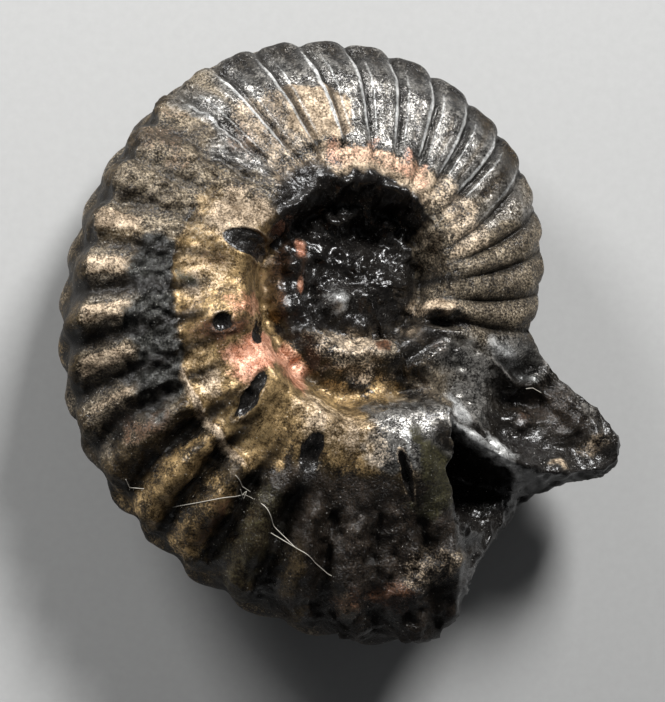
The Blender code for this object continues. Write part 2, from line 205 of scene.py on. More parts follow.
def rib_wave(angle, share, shift):
    """Height of a rib from 0 in a groove to 1 on its crest: a sine, steep on its rear side."""
    number = rib_number(angle, share) + shift
    across = number - np.floor(number)
    crest = blend(0.37, 0.5, ease(130.0, 180.0, angle))
    across = np.where(across < crest, across / crest, (1.0 - across) / (1.0 - crest))
    return np.sin(0.5 * np.pi * across) ** blend(0.55, 1.25, ease(128.0, 165.0, angle))


def whorl_height(angle, radius, rear):
    """Height of one side above the coil's middle plane.

    The whorl's section times the rim's radius, and the highest of it and of the whorls inside
    it, each smaller by one turn's growth, so the hollow centre steps down inwards. Two heights
    meet in a rounded seam: their mean plus half the root of (difference^2 + WHORL_SEAM^2).
    rear is 0 for the front and 1 for the rear, whose ribs lie half a rib further on.
    """
    rim = spiral(angle)
    stout = ease(200.0, 225.0, angle) * (1.0 - ease(252.0, 268.0, angle))
    stout = stout + 0.2 * (1.0 + rear) * (1.0 - ease(120.0, 150.0, angle))
    worn = ease(122.0, 140.0, angle) * (1.0 - ease(166.0, 182.0, angle)) * (1.0 - rear)
    square = ease(132.0, 155.0, angle) * (1.0 - ease(186.0, 205.0, angle)) * (1.0 - rear)
    crusted = ease(168.0, 175.0, angle) * (1.0 - ease(206.0, 213.0, angle)) * (1.0 - rear)
    wall_top = UMBILICUS[1] + 0.08 * ease(140.0, 170.0, angle) * (1.0 - ease(255.0, 275.0, angle))
    height = np.zeros_like(radius)
    for turn in range(4):
        size = WHORL_GROWTH ** turn
        share = radius / rim * size
        fall = FLANK_FALL * (1.0 - SQUARENESS * square)
        flank = SHOULDER - fall * np.maximum(share - SHOULDER_SHARE, 0.0) ** 1.15
        flank = flank - FLANK_ROUND * ease(0.84, 1.0, share) * (1.0 - square)
        flank = flank * ease(UMBILICUS[0], wall_top, share)
        ribs = (rib_wave(angle, share, 0.5 * rear) - 0.5) * ease(0.43, 0.62, share)
        old = ease(140.0, 170.0, angle) * (1.0 - ease(0.64, 0.73, share - 0.12 * crusted))
        ribs = ribs * (1.0 - (0.97 - 0.12 * rear) * old) * (1.0 + (1.2 - 0.6 * rear) * stout)
        ribs = ribs * (1.0 - 0.35 * worn)
        flank = flank + RIB_HEIGHT * ribs * (1.0 if turn == 0 else 0.6)
        for bulla in BULLA_ANGLES:
            strength = 0.45 + (1.05 - 0.5 * rear) * ease(120.0, 170.0, bulla)
            away = np.radians(angle - bulla) * share / 0.085
            out = (share - 0.52) / 0.13
            flank = flank + strength * BULLA_HEIGHT * np.exp(-away ** 2 - out ** 2)
        over = rim / size * flank - height
        height = height + 0.5 * (over + np.sqrt(over ** 2 + WHORL_SEAM ** 2))
    return blend(height, PLUG_HEIGHT, 1.0 - ease(*PLUG_RADII, radius))


# Scars where bosses broke off, and lumps that stand on the front: where, half length and half
# width, turn in degrees, and height.
SCARS = ((at_polar(167.5, 0.46), 1.9, 0.8, 167, -0.75), (at_polar(198, 0.55), 0.6, 0.6, 0, -0.8),
         (at_polar(205.5, 0.425), 1.1, 0.5, 232, -0.6), (at_polar(223, 0.56), 1.6, 0.5, 243, -0.9),
         (at_polar(248.5, 0.565), 1.2, 0.7, 250, -0.7), (at_polar(277, 0.56), 1.5, 0.35, 292, -1.0))
LUMPS = ((at_polar(284, 0.55), 2.0, 0.7, 279, 0.35), (at_polar(278, 0.31), 1.3, 0.7, 20, 0.5),
         (at_polar(191, 1.0), 1.1, 1.0, 100, 0.5), ((5.3, -24.8), 1.5, 1.1, 5, 0.8),
         ((1.6, -23.3), 1.5, 0.9, 10, 0.7), ((-1.6, -23.7), 1.3, 0.6, -50, 0.5),
         ((6.4, -20.6), 2.8, 0.8, 27, 1.0))


def crusts_and_scars(angle, radius, x, y):
    """Relief that later damage and crusts leave on the front.

    It is the sum of a flaky band along the flank, the raised seam on that band's inner side, a
    slab of pale stone, tar round the hollow centre, the hills and pits of SCARS and LUMPS, the
    rough old end, and the crust in the centre. Each is a height times eased steps in angle and
    share of the radius, roughened by lumps.
    """
    share = radius / spiral(angle)
    relief = np.zeros_like(radius)
    grain = lumps(x, y, share, 1.1, 5) + 0.6 * lumps(x, y, share, 0.55, 6)

    band = ease(168, 175, angle) * (1 - ease(205, 212, angle))
    band = band * ease(0.69, 0.72, share) * (1 - ease(0.81, 0.85, share))
    relief = relief + band * (0.35 + 0.25 * grain)

    seam = np.exp(-((share - 0.70) / 0.012) ** 2)
    relief = relief + 0.30 * seam * ease(168, 176, angle) * (1 - ease(232, 244, angle))

    slab = ease(98, 101, angle) * (1 - ease(116, 119, angle))
    relief = relief + 0.35 * slab * ease(0.53, 0.57, share) * (1 - ease(0.79, 0.82, share))

    boulders = lumps(x, y, share, 2.0, 15)
    uneven = share + 0.03 * boulders
    tar = ease(15, 45, angle) * (1 - ease(135, 155, angle))
    tar = tar * ease(0.20, 0.28, uneven) * (1 - ease(0.40, 0.45, uneven))
    relief = relief + tar * (0.5 + 0.6 * grain + 0.5 * boulders)

    for oval in SCARS + LUMPS:
        relief = relief + mound(x, y, *oval)

    rough = ease(255, 268, angle) * (1 - ease(292, 300, angle)) * ease(0.60, 0.70, share)
    relief = relief + rough * (0.35 * grain - 0.15)
    return relief + (0.35 * grain + 0.4 * boulders) * (1 - ease(0.28, 0.38, share))


def broken_height(x, y):
    """Height of the broken end: bared wall with its ridge, pit, lip, hollow and tongue.

    Between lip and ridge the floor falls from the lip by exp(-(distance/reach)^2) and rises to
    the crest by exp(-(distance/1.5)^2). On the ridge's other side the stone drops into the pit.
    """
    south = -beside(x, y, INNER_LIP)
    past = beside(x, y, WALL_RIDGE)
    crest = 6.2 - 0.33 * (x - 5.0)
    lip = 4.9 - 0.36 * (x - 6.0)
    level = blend(3.5, 1.1, ease(8.5, 11.5, x))
    reach = blend(2.6, 0.6, ease(8.0, 10.5, x))
    floor = level + (lip - level) * np.exp(-(np.maximum(south, 0.0) / reach) ** 2)
    for oval in WALL_MOUNDS:
        floor = floor + mound(x, y, *oval)
    basin = floor + (crest - floor) * np.exp(-(past / 1.5) ** 2)
    basin = basin + mound(x, y, *SLOT)
    pit = -2.4 + 2.9 * ease(15.5, 20.0, np.hypot(x, y)) * (1.0 - ease(11.0, 15.0, x))
    drop = crest + (pit - crest) * ease(0.0, 1.7, -past)
    height = np.where(past > 0.0, basin, drop)
    grain = lumps(x, y, 0 * x, 1.7, 8) + 0.5 * lumps(x, y, 0 * x, 0.8, 9)
    rough = np.maximum(ease(12.5, 15.5, x), ease(0.8, 2.0, -past))
    return height + 0.4 * grain * rough


def front_height(angle, radius):
    """Height of the front: whole shell, then the broken end, then the young shell.

    Eased steps across the break lines FLANK_BREAK and INNER_LIP lead from each to the next, and
    the mounds of the centre are added.
    """
    x = radius * np.cos(np.radians(angle))
    y = radius * np.sin(np.radians(angle))
    turned = np.where(angle > 352.0, angle - 360.0, angle)
    shell = whorl_height(turned, radius, 0.0) + crusts_and_scars(turned, radius, x, y)
    young = whorl_height(angle - 360.0, np.minimum(radius, spiral(angle - 360.0)), 0.0)
    for oval in YOUNG_MOUNDS:
        young = young + mound(x, y, *oval)
    bared = ease(-0.5, 0.5, -beside(x, y, INNER_LIP))
    broken = blend(young, broken_height(x, y), bared)
    jag = 0.5 * lumps(x, y, 0 * x, 1.6, 13) + 0.25 * lumps(x, y, 0 * x, 0.7, 14)
    slope = 0.7 + 3.6 * ease(13.5, 18.5, -y)
    gone = ease(-0.5, slope, beside(x, y, FLANK_BREAK) + jag)
    height = np.where(angle > 270.0, blend(shell, broken, gone), shell)
    height = np.where(angle > 352.0, shell, height)
    for oval in CENTRE_MOUNDS:
        height = height + mound(x, y, *oval)
    return height


def rear_height(angle, radius):
    """Depth of the rear: the old whorl, and past the break the young whorl and a broken stub."""
    turned = np.where(angle > 352.0, angle - 360.0, angle)
    old = whorl_height(turned, radius, 1.0)
    young = whorl_height(angle - 360.0, np.minimum(radius, spiral(angle - 360.0)), 1.0)
    x = radius * np.cos(np.radians(angle))
    y = radius * np.sin(np.radians(angle))
    grain = lumps(x, y, 0 * x, 2.2, 21) + 0.5 * lumps(x, y, 0 * x, 1.0, 22)
    stub = 3.4 + 1.2 * np.exp(-((radius - 15.0) / 4.0) ** 2) + 0.5 * grain
    young = blend(young, stub, ease(9.0, 11.5, radius) * (1.0 - ease(338.0, 344.0, angle)))
    snapped = ease(292.0, 299.0, angle + 2.0 * np.sin(0.7 * radius) + 0.8 * grain)
    height = blend(old, young, snapped)
    return np.where(angle > 352.0, old, height)


def shell_point(angle, over):
    """The surface at an angle, from over = 0 at the front's centre to 1 at the rear's.

    The front is a height above the coil's middle plane, the rear a depth below it, and the
    narrow outer face joins them, bowed out to the rim.
    """
    rim = rim_radius(angle)
    broken = ease(282.0, 288.0, angle) * (1.0 - ease(343.0, 350.0, angle))
    turned = np.where(angle > 348.0, angle - 360.0, angle)
    edge = rim * EDGE_SHARE
    whole = 1.0 - broken
    tip = RIB_TIP * rim * whole
    front_edge = edge + tip * (rib_wave(turned, 1.0, 0.0) - 0.5)
    rear_edge = edge + 0.5 * tip * (rib_wave(turned, 1.0, 0.5) - 0.5)

    front = np.clip(over / FRONT_SHARE, 0.0, 1.0)
    rear = np.clip((1.0 - over) / FRONT_SHARE, 0.0, 1.0)
    across = np.clip((over - FRONT_SHARE) / (1.0 - 2.0 * FRONT_SHARE), 0.0, 1.0)
    radius = blend(front * front_edge, rear * rear_edge, over > 0.5)
    top = front_height(angle, np.where(over < 0.5, radius, front_edge))
    low = -rear_height(angle, np.where(over > 0.5, radius, rear_edge))
    height = blend(top, low, ease(0.0, 1.0, across) * 0.4 + across * 0.6)

    outer = blend(front_edge, rear_edge, ease(0.2, 0.8, across))
    bow = 1.0 - np.abs(2.0 * across - 1.0) ** 2.6
    groove = 0.012 * np.exp(-((across - 0.5) / 0.12) ** 2) * whole
    knob = 0.6 * np.exp(-((angle - 190.5) / 2.2) ** 2 - ((across - 0.35) / 0.3) ** 2)
    belly = outer + knob + rim * ((1.0 - EDGE_SHARE) * bow - groove)
    on_belly = (across > 0.0) & (across < 1.0)
    radius = np.where(on_belly, belly, radius)
    x = radius * np.cos(np.radians(angle))
    y = radius * np.sin(np.radians(angle))
    rough = 0.25 * lumps(x, y, height, 2.0, 11) * (0.3 + 0.7 * broken) * on_belly
    x = x * (1.0 + rough / np.maximum(radius, 1.0))
    y = y * (1.0 + rough / np.maximum(radius, 1.0))
    return np.stack([x, y, height], axis=1)


def settle(points):
    """Lean the shell as it lies, about X and then about Y, and level its feet at Z = 0."""
    tip_x, tip_y = math.radians(LEAN_X), math.radians(LEAN_Y)
    x, y, z = points.T
    y, z = y * math.cos(tip_x) - z * math.sin(tip_x), y * math.sin(tip_x) + z * math.cos(tip_x)
    x, z = x * math.cos(tip_y) + z * math.sin(tip_y), z * math.cos(tip_y) - x * math.sin(tip_y)
    return np.stack([x + AXIS_AT[0], y + AXIS_AT[1], np.maximum(z + AXIS_AT[2], 0.0)], axis=1)


# Where the stone differs along the coil. Each finish has stretches that run between two angles
# and two shares of the rim's radius, with a strength, and a strength in clouds on the rear.
STRETCHES = {
    "tan": ((174, 190, 0.55, 0.68, 0.35), (196, 214, 0.58, 0.69, 0.3),
            (100, 118, 0.55, 0.81, 1.0), (52, 104, 0.42, 0.53, 0.8),
            (104, 137, 0.42, 0.53, 0.45), (118, 134, 0.54, 0.82, 0.5),
            (15, 55, 0.45, 0.62, 0.5), (150, 167, 0.46, 0.63, 0.7),
            (172, 188, 0.50, 0.64, 0.4), (236, 272, 0.40, 0.52, 0.45),
            (276, 290, 0.77, 0.86, 0.35), (-12, 40, 0.5, 0.95, 0.15),
            (-12, 50, 0.27, 0.46, 0.2)),
    "salmon": ((206, 221, 0.38, 0.56, 0.8), (218, 239, 0.31, 0.44, 0.7),
               (186, 198, 0.37, 0.50, 0.5), (61, 65, 0.50, 0.57, 0.45),
               (74, 78, 0.50, 0.58, 0.45), (88, 92, 0.50, 0.58, 0.45),
               (103, 107, 0.50, 0.57, 0.45), (58, 110, 0.45, 0.54, 0.42)),
    "gold": ((153, 244, 0.31, 0.69, 0.9), (240, 268, 0.31, 0.55, 0.7),
             (224, 231, 0.74, 1.0, 1.0), (234, 241, 0.78, 1.0, 0.6),
             (168, 172, 0.82, 0.97, 0.9)),
    "bronze": ((128, 262, 0.66, 1.1, 0.8), (140, 285, 0.30, 0.74, 0.8),
               (-18, 60, 0.5, 1.1, 0.6)),
    "ash": ((124, 214, 0.69, 1.03, 0.6), (134, 172, 0.44, 0.8, 0.45),
            (-18, 34, 0.45, 1.0, 0.6), (-18, 50, 0.27, 0.50, 0.55),
            (30, 150, 0.50, 0.86, 0.35)),
    "silver": ((44, 140, 0.56, 1.05, 0.9), (20, 48, 0.50, 1.05, 0.5),
               (266, 290, 0.36, 0.53, 0.9), (176, 192, 0.82, 1.0, 0.3)),
    # The first crust stretch is partly black crust and partly painted shade on the hollow centre's
    # upper part, under its wall.
    "crust": ((45, 152, 0.16, 0.42, 1.0), (10, 45, 0.10, 0.27, 1.0),
              (112, 150, 0.30, 0.49, 0.8), (235, 248, 0.30, 0.36, 0.7),
              (140, 160, 0.30, 0.46, 0.8)),
    "green": ((280, 288, 0.45, 0.66, 1.0), (179, 185, 0.58, 0.68, 0.7),
              (222, 236, 0.56, 0.68, 0.4), (243, 251, 0.70, 1.0, 0.45)),
    "rust": ((130, 136, 0.64, 0.76, 0.45), (210, 213, 0.78, 0.95, 0.7),
             (236, 239, 0.80, 0.95, 0.8), (150, 200, 0.26, 0.34, 0.5),
             (139, 144, 0.90, 1.0, 0.35), (147, 152, 0.80, 0.96, 0.4),
             (122, 127, 0.62, 0.68, 0.5)),
    # The crumb stretches on the lower side, angles 244 to 312, are partly dark crumbled stone and
    # partly painted shade there.
    "crumb": ((258, 312, 0.58, 1.1, 1.0), (244, 262, 0.58, 0.80, 0.7),
              (206, 252, 0.66, 1.1, 0.2)),
    "slate": ((172, 211, 0.70, 0.84, 1.0),)}
ON_REAR = {"tan": 0.25, "salmon": 0.0, "gold": 0.35, "bronze": 0.6, "ash": 0.5, "silver": 0.3,
           "crust": 0.3, "green": 0.0, "rust": 0.1, "crumb": 0.4, "slate": 0.0}
BORDER_ANGLE = (4.0, 3.0)     # degrees outside and inside an end over which a stretch eases
BORDER_SHARE = (0.04, 0.03)   # the same in shares of the radius

# Smaller places that lie apart from the coil's lines, as ovals: where, half length and half width
# in millimetres, turn in degrees, and strength. Two slits of painted shade and a terrace are ovals
# too.
SPOTS = {
    # The first five tan ovals are painted highlights on the lit upper sides of the bosses on the
    # left flank.
    "tan": (((-13.6, -1.0), 1.0, 1.2, 0, 0.9), ((-10.9, 3.2), 1.6, 0.9, 0, 1.0),
            ((-12.3, -8.2), 1.3, 0.8, 45, 0.8), ((-5.0, -10.8), 2.2, 0.9, 75, 0.8),
            ((-2.3, -11.8), 1.8, 0.8, 80, 0.7), ((-0.8, -4.5), 4.0, 1.5, 0, 0.6),
            ((-1.0, -6.6), 3.0, 0.8, 0, 0.5), ((1.6, -7.9), 1.0, 0.6, 10, 0.4),
            ((5.3, -1.7), 1.9, 0.5, -5, 1.0), ((4.0, -4.0), 1.3, 0.8, -40, 0.7),
            ((6.6, -20.6), 2.6, 0.6, 27, 0.2), ((15.2, -12.6), 0.9, 0.6, 0, 0.7),
            ((18.2, -11.2), 1.6, 0.7, 40, 0.5)),
    # The first rust oval is painted shade round the scar at 198 degrees, below its boss.
    "rust": (((-11.5, -4.3), 2.6, 1.1, 5, 1.0), ((-12.2, 0.9), 1.6, 0.6, 10, 0.5),
             ((-4.4, 1.0), 0.7, 2.6, 0, 0.5), ((1.3, -4.9), 0.7, 0.5, 0, 1.0),
             ((5.1, -4.3), 1.4, 0.9, -40, 0.5), ((12.6, -9.0), 1.5, 1.0, 0, 0.35),
             ((1.8, -23.2), 1.5, 1.0, 5, 1.0), ((-1.5, -23.6), 1.2, 1.0, 0, 0.6),
             ((14.5, -17.0), 3.0, 1.5, 60, 0.5)),
    "salmon": (((-4.6, 2.4), 0.5, 0.7, 0, 0.9), ((-4.7, -0.4), 0.4, 0.8, 0, 0.8)),
    "silver": (((8.2, -8.5), 2.4, 1.6, -35, 0.9), ((8.0, -5.6), 4.0, 2.0, -20, 0.8),
               ((-0.8, -4.6), 3.6, 1.2, 0, 0.6), ((12.4, -5.0), 2.8, 1.6, -12, 1.0),
               ((4.2, -9.9), 1.4, 0.6, -60, 0.7), ((17.5, -8.0), 2.4, 1.0, -50, 0.4)),
    "gold": (((1.4, -8.1), 1.5, 1.0, 10, 1.0),),
    # The edge ovals are painted highlights on the bared wall and the break, and a glint on the
    # glossy lump in the centre.
    "edge": (((13.2, -6.2), 1.3, 0.3, -8, 0.9), ((1.7, -12.2), 2.2, 0.3, -78, 0.6),
             ((8.6, -11.7), 3.8, 0.38, -28, 1.1), ((7.1, -9.3), 1.4, 0.75, -55, 0.85),
             ((10.3, -11.6), 1.7, 0.5, -35, 0.85), ((11.2, -4.9), 2.6, 1.0, -25, 0.6),
             ((-1.9, -1.4), 1.0, 1.1, 0, 0.6), ((3.0, -10.0), 1.2, 0.3, -60, 0.4)),
    "crumb": (((15.5, -8.5), 3.5, 2.2, -40, 0.8),),
    "ash": (((2.2, -9.4), 1.4, 1.0, -60, 0.9), ((1.6, -12.4), 2.6, 0.8, -78, 0.9),
            ((6.4, -20.6), 3.0, 0.9, 27, 0.5), ((-1.6, -23.7), 1.3, 0.6, -50, 0.8),
            ((8.8, -4.4), 4.6, 1.6, -8, 0.6), ((6.0, -7.6), 2.6, 1.8, -35, 0.9),
            ((0.4, -5.6), 3.0, 0.8, 10, 0.8))}
# Painted shade in a slit under a young rib by the centre and in the slot between the bared wall's
# two ridges.
SHADED_SLITS = (((5.4, 0.4), 2.6, 0.6, 4, 1.0), ((8.6, -10.95), 1.7, 0.38, -42, 1.0))
TERRACE = ((-0.8, -4.8), 4.6, 1.8, -3, 1.0)
PALE_AND_LIT_CRESTS = ((163, 206, 0.84, 0.99, 1.0),)    # a stretch, like those of the finishes
SEAM_SHARE = 0.705        # of the radius, where the pale seam runs along the flank
SEAM_WIDTH = 0.014

# Fine relief, as heights in millimetres.
SKIN_HEIGHT = 0.05        # everywhere
TAN_GRAIN = 0.08
CRUST_FLAKES = 0.22
SLATE_FLAKES = 0.42
RIB_LUMPS = 0.24          # on the old ribs
RIB_GRAIN = 0.28
CHANNEL_DEPTH = 0.08      # along the middle of a young rib
RIM_HEIGHT = 0.11         # of the thin rims along its two sides
CRUMBLED_LUMPS = 0.30     # on the crumbled old end
CRUMBLED_GRAIN = 0.20
ROUGH_GRAIN = 0.22        # there, on the bared wall and on the worn ribs
TERRACE_LUMPS = 0.30      # on the step below the hollow centre
TERRACE_GRAIN = 0.15
WALL_LUMPS = 0.16         # on the wall round the centre
WALL_SKIN = 0.12
LIP_HEIGHT = 0.10         # of the torn lip round a scar
SCAR_GRAIN = 0.12
FLAKE_LEVEL = 0.3         # the grain's value at which flakes neither lift nor sink the stone


def stretches(angle, share, table):
    """The strongest of a table's stretches at each place, eased over their borders."""
    angle_out, angle_in = BORDER_ANGLE
    share_out, share_in = BORDER_SHARE
    total = np.zeros_like(share)
    for first, last, inner, outer, strength in table:
        along = ease(first - angle_out, first + angle_in, angle)
        along = along * (1.0 - ease(last - angle_in, last + angle_out, angle))
        out = ease(inner - share_out, inner + share_in, share)
        out = out * (1.0 - ease(outer - share_in, outer + share_out, share))
        total = np.maximum(total, strength * along * out)
    return total


def ridge(value, middle, width):
    """A smooth line, exp(-((value - middle) / width)^2)."""
    return np.exp(-((value - middle) / width) ** 2)


# The net: rings of vertices from the front's pole to the rear's, closest on the front.
COLUMNS = 620
FACE_END = 0.58           # where the narrow outer face ends and the rear begins
ROWS = np.concatenate([np.linspace(0.0, FRONT_SHARE, 109)[1:],
                       np.linspace(FRONT_SHARE, FACE_END, 21)[1:],
                       np.linspace(FACE_END, 1.0, 34)[1:-1]])


def net_faces(rows, columns):
    """Triangles and squares of a closed net: a pole, rings of vertices, and a second pole."""
    ring = np.arange(columns)
    following = (ring + 1) % columns
    first = 1 + ring
    last = 1 + (rows - 1) * columns + ring
    cap = np.stack([np.zeros_like(ring), first, 1 + following], axis=1)
    foot = np.stack([np.full_like(ring, 1 + rows * columns), last - ring + following, last], axis=1)
    start = 1 + columns * np.arange(rows - 1)[:, None]
    squares = np.stack([start + ring, start + columns + ring, start + columns + following,
                        start + following], axis=2).reshape(-1, 4)
    return cap, squares, foot


def outward(points, rows, columns):
    """Unit normals of the net: the cross product of the steps along and across its rings."""
    rings = points[1:-1].reshape(rows, columns, 3)
    whole = np.concatenate([np.broadcast_to(points[0], (1, columns, 3)), rings,
                            np.broadcast_to(points[-1], (1, columns, 3))])
    down = whole[2:] - whole[:-2]
    along = np.roll(rings, -1, axis=1) - np.roll(rings, 1, axis=1)
    normal = np.cross(down, along).reshape(-1, 3)
    normal = normal / np.maximum(np.linalg.norm(normal, axis=1, keepdims=True), 1e-9)
    return np.concatenate([[[0.0, 0.0, 1.0]], normal, [[0.0, 0.0, -1.0]]])


angle = np.concatenate([[0.0], np.tile(np.arange(COLUMNS) * 360.0 / COLUMNS, len(ROWS)), [0.0]])
over = np.concatenate([[0.0], np.repeat(ROWS, COLUMNS), [1.0]])
points = shell_point(angle, over)
normals = outward(points, len(ROWS), COLUMNS)

# Where each vertex lies. Past the break the stone is the bared wall between two whorls, or the
# young whorl one turn back, whose angle and share of the radius count there.
x, y, z = points.T
radius = np.hypot(x, y)
turned = np.where(angle > 345.0, angle - 360.0, angle)
share = radius / spiral(turned)
front = 1.0 - ease(0.46, 0.54, over)
rear = 1.0 - front
gone = ease(-0.3, 0.5, beside(x, y, FLANK_BREAK)) * (angle > 270.0) * (angle < 352.0)
bared = gone * ease(-0.3, 0.4, -beside(x, y, INNER_LIP)) * front
young = gone * (1.0 - bared)
share = np.where(young > 0.5, radius / spiral(angle - 360.0), share)
turned = np.where(young > 0.5, angle - 360.0, turned)
coil = (1.0 - bared) * front

# Masks for the finishes. The stretches' borders wander by degrees and shares of the radius.
wander = 4.5 * lumps(x, y, z, 2.2, 31) + 2.5 * lumps(x, y, z, 0.8, 32)
drift = 0.035 * lumps(x, y, z, 2.0, 33) + 0.02 * lumps(x, y, z, 0.7, 34)
masks = {"edge": np.zeros_like(share)}
for name, table in STRETCHES.items():
    seen = stretches(turned + wander, share + drift, table) * coil
    clouds = ease(-0.2, 0.5, lumps(x, y, z, 4.0, len(name) + 40))
    masks[name] = seen + ON_REAR[name] * rear * clouds

# Crust fills the hollow centre and covers the bared wall, except where another spot lies.
centre = (1.0 - ease(0.24, 0.31, share)) * coil * ease(-4.5, -3.0, y)
masks["crust"] = np.maximum(masks["crust"], np.maximum(centre, 0.8 * bared))
torn = 0.40 * lumps(x, y, z, 1.0, 64) + 0.20 * lumps(x, y, z, 0.5, 65)
for name, spots in SPOTS.items():
    for spot in spots:
        oval = mound(x + torn, y - torn, *spot) * front
        masks[name] = np.maximum(masks[name], oval)
        masks["crust"] = masks["crust"] * (1.0 - np.minimum(1.1 * oval, 1.0))

# The scars are as black as crust, inside a torn tan lip: partly black crust, partly painted shade
# in their hollows.
scars = np.zeros_like(share)
ragged = 0.22 * lumps(x, y, z, 0.9, 59)
for at, long, wide, turn, depth in SCARS:
    scar = mound(x + ragged, y - ragged, at, 1.15 * long, 1.15 * wide, turn, 1.0) * front
    masks["crust"] = np.maximum(masks["crust"], ease(0.30, 0.42, scar))
    scars = np.maximum(scars, scar)
lip = ridge(scars, 0.25, 0.07)
lip = lip * ease(-0.5, 0.6, lumps(x, y, z, 1.0, 66))
masks["tan"] = np.maximum(masks["tan"], 0.75 * lip)

# The grooves between ribs get painted shade, less where the ribs are worn, and so do two slits. A
# pale seam crosses them.
ribbed = ease(0.50, 0.66, share) * (1.0 - bared) * (1.0 - 0.7 * ease(250, 262, turned) * front)
crest = blend(rib_wave(turned, share, 0.5), rib_wave(turned, share, 0.0), front)
ribbed = np.maximum(ribbed, ease(0.27, 0.42, share) * (1.0 - ease(30.0, 55.0, turned)) * coil)
worn = ease(122.0, 140.0, turned) * (1.0 - ease(166.0, 182.0, turned)) * front
masks["groove"] = ribbed * (1.0 - ease(0.05, 0.85, crest + 0.12 * lumps(x, y, z, 0.8, 55)))
masks["groove"] = masks["groove"] * (0.92 - 0.35 * worn)
for slit in SHADED_SLITS:
    masks["groove"] = np.maximum(masks["groove"], mound(x, y, *slit) * front)
seam = ridge(share, SEAM_SHARE, SEAM_WIDTH) * coil
seam = seam * ease(198, 206, turned) * (1.0 - ease(230, 240, turned))
masks["tan"] = np.maximum(masks["tan"], seam)
masks["groove"] = masks["groove"] * (1.0 - 0.85 * seam)

# Pale crests on the left, partly pale stone and partly a painted highlight where the crests face
# the light, and a strip along the rim there that has no pale stone. Bronze is strongest on the
# ribs' crests, partly a painted highlight too.
pale_and_lit_crest = stretches(turned, share, PALE_AND_LIT_CRESTS) * coil
masks["tan"] = np.maximum(masks["tan"], 0.8 * pale_and_lit_crest * ease(0.60, 0.90, crest))
strip = ease(0.425, 0.432, over) * front * ease(130, 145, turned) * (1.0 - ease(196, 210, turned))
for name in ("tan", "ash", "gold", "silver"):
    masks[name] = masks[name] * (1.0 - strip)
masks["bronze"] = np.minimum(masks["bronze"], 0.35 + 0.65 * ease(0.5, 0.9, crest))

# Fine relief: skin and grain everywhere, then more of it on each kind of stone.
across = rib_number(turned, share) % 1.0
early = ribbed * ease(20.0, 45.0, turned) * (1.0 - ease(128.0, 150.0, turned)) * front
late = ease(128.0, 170.0, turned) * ribbed * front
grain = 0.6 * np.abs(lumps(x, y, z, 0.65, 51)) + 0.4 * lumps(x, y, z, 0.36, 52)
skin = lumps(x, y, z, 0.9, 53) + 0.6 * lumps(x, y, z, 0.45, 54)
flakes = grain - FLAKE_LEVEL
relief = SKIN_HEIGHT * skin + TAN_GRAIN * grain * masks["tan"]
relief = relief + flakes * (CRUST_FLAKES * masks["crust"] + SLATE_FLAKES * masks["slate"])
on_ribs = RIB_LUMPS * lumps(x, y, z, 1.7, 56) + RIB_GRAIN * flakes
relief = relief + late * on_ribs * (1.0 - strip)
crumbled = ease(246, 268, turned) * ease(0.55, 0.75, share) * coil
relief = relief + crumbled * (CRUMBLED_LUMPS * lumps(x, y, z, 1.1, 57) + CRUMBLED_GRAIN * grain)
rough_stone = np.maximum(crumbled, np.maximum(bared, worn * ribbed))
relief = relief + ROUGH_GRAIN * lumps(x, y, z, 0.5, 60) * rough_stone
relief = relief + LIP_HEIGHT * lip + SCAR_GRAIN * lumps(x, y, z, 0.5, 61) * ease(0.3, 0.5, scars)
on_terrace = TERRACE_LUMPS * lumps(x, y, z, 0.9, 62) + TERRACE_GRAIN * lumps(x, y, z, 0.45, 63)
relief = relief + mound(x, y, *TERRACE) * front * on_terrace
wall = ease(0.24, 0.28, share) * (1.0 - ease(0.36, 0.44, share)) * coil
relief = relief + wall * (WALL_LUMPS * lumps(x, y, z, 1.1, 58) + WALL_SKIN * skin)

# A young rib has a thin raised rim along each side, painted bright as a highlight, and is darker in
# its middle and at its tip.
rims = ridge(across, 0.16, 0.050) + 0.6 * ridge(across, 0.80, 0.040)
rims = rims * (1.0 - 0.85 * ease(0.88, 1.0, share))
relief = relief + early * (RIM_HEIGHT * rims - CHANNEL_DEPTH * ridge(across, 0.50, 0.18))
masks["silver"] = masks["silver"] * (1.0 - 0.6 * early * ridge(across, 0.48, 0.13))
masks["silver"] = masks["silver"] * (1.0 - 0.6 * early * ease(0.86, 0.97, share))
masks["edge"] = np.maximum(masks["edge"], early * rims)

# How much of the material's own bump each place shows, and how dull the outer face and rear are.
pale = np.maximum(masks["tan"], np.maximum(masks["ash"], masks["crumb"]))
grit = np.maximum(0.30 + 0.7 * pale, 0.9 * masks["slate"])
grit = np.maximum(grit * (1.0 - 0.5 * masks["crust"]), 0.55 * early)
masks["grit"] = grit * (1.0 - 0.75 * np.maximum(masks["edge"], bared * masks["silver"]))
masks["dull"] = ease(0.415, 0.45, over)

points = points + normals * relief[:, None]

mesh = bpy.data.meshes.new("fossil")
cap, squares, foot = net_faces(len(ROWS), COLUMNS)
placed = settle(points) * MM
loops = np.concatenate([cap.ravel(), squares.ravel(), foot.ravel()])
sizes = np.concatenate([np.full(len(cap), 3), np.full(len(squares), 4), np.full(len(foot), 3)])
mesh.vertices.add(len(placed))
mesh.vertices.foreach_set("co", placed.ravel())
mesh.loops.add(len(loops))
mesh.loops.foreach_set("vertex_index", loops)
mesh.polygons.add(len(sizes))
mesh.polygons.foreach_set("loop_start", np.concatenate([[0], np.cumsum(sizes)[:-1]]))
mesh.update(calc_edges=True)
mesh.validate()
mesh.shade_smooth()
for name, values in masks.items():
    mesh.attributes.new(name, "FLOAT", "POINT").data.foreach_set("value", np.clip(values, 0, 1))
fossil = bpy.data.objects.new("fossil", mesh)
bpy.context.scene.collection.objects.link(fossil)


